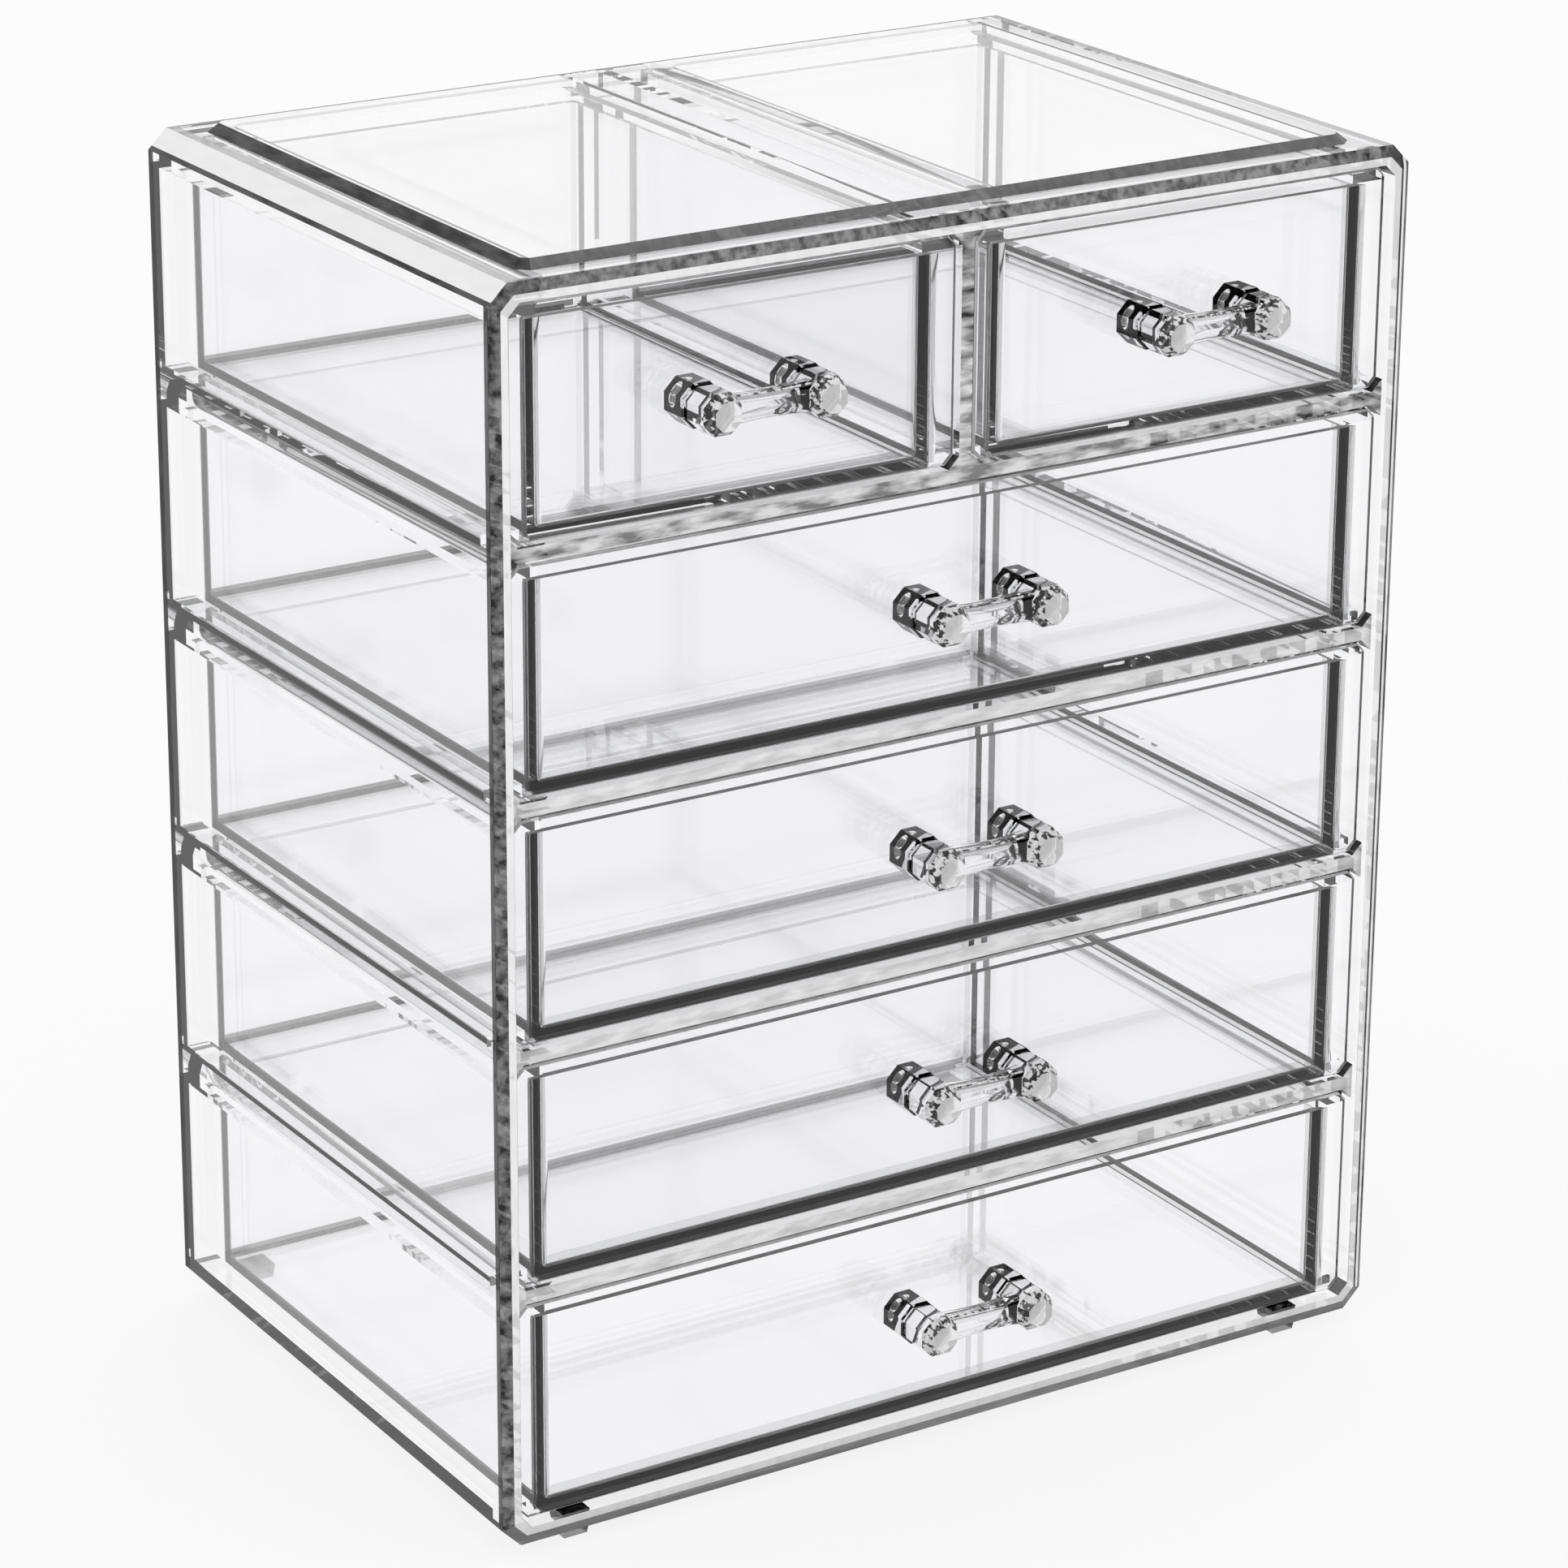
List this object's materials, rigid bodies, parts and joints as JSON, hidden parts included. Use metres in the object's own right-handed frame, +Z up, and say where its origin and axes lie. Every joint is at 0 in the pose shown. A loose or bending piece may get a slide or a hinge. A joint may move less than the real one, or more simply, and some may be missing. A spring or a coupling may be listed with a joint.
{
  "type": "acrylic makeup organizer drawers",
  "caption": "Clear acrylic vanity organizer: small drawers side by side over full-width drawers, each with a clear post-and-bar handle, on small clear feet.",
  "frame": {"origin": "centre of the overall box's base, on the surface the organizer stands on, handles counted in the depth", "axes": "+X to the right seen from the front, -Y out of the front where the drawers open, +Z up"},
  "size_m": [0.241, 0.1778, 0.2981],
  "materials": {
    "clear_acrylic": "clear polished acrylic with a very faint cool tint",
    "clear_handles": "clear polished acrylic, faceted",
    "clear_feet": "clear, slightly milky plastic"
  },
  "bodies": {
    "case": {"lower_case": "clear_acrylic", "upper_case": "clear_acrylic", "foot_front_left": "clear_feet", "foot_front_right": "clear_feet", "foot_back_left": "clear_feet", "foot_back_right": "clear_feet"},
    "drawer_small_left": {"drawer_small_left": "clear_acrylic", "handle_small_left": "clear_handles"},
    "drawer_small_right": {"drawer_small_right": "clear_acrylic", "handle_small_right": "clear_handles"},
    "drawer_row_2": {"drawer_row_2": "clear_acrylic", "handle_row_2": "clear_handles"},
    "drawer_row_3": {"drawer_row_3": "clear_acrylic", "handle_row_3": "clear_handles"},
    "drawer_row_4": {"drawer_row_4": "clear_acrylic", "handle_row_4": "clear_handles"},
    "drawer_row_5": {"drawer_row_5": "clear_acrylic", "handle_row_5": "clear_handles"}
  },
  "joints": [
    {"name": "drawer_small_left_slide", "type": "slide", "parent": "case", "child": "drawer_small_left", "axis": [0, -1, 0], "range_m": [0, 0.14]},
    {"name": "drawer_small_right_slide", "type": "slide", "parent": "case", "child": "drawer_small_right", "axis": [0, -1, 0], "range_m": [0, 0.14]},
    {"name": "drawer_row_2_slide", "type": "slide", "parent": "case", "child": "drawer_row_2", "axis": [0, -1, 0], "range_m": [0, 0.14]},
    {"name": "drawer_row_3_slide", "type": "slide", "parent": "case", "child": "drawer_row_3", "axis": [0, -1, 0], "range_m": [0, 0.14]},
    {"name": "drawer_row_4_slide", "type": "slide", "parent": "case", "child": "drawer_row_4", "axis": [0, -1, 0], "range_m": [0, 0.14]},
    {"name": "drawer_row_5_slide", "type": "slide", "parent": "case", "child": "drawer_row_5", "axis": [0, -1, 0], "range_m": [0, 0.14]}
  ]
}
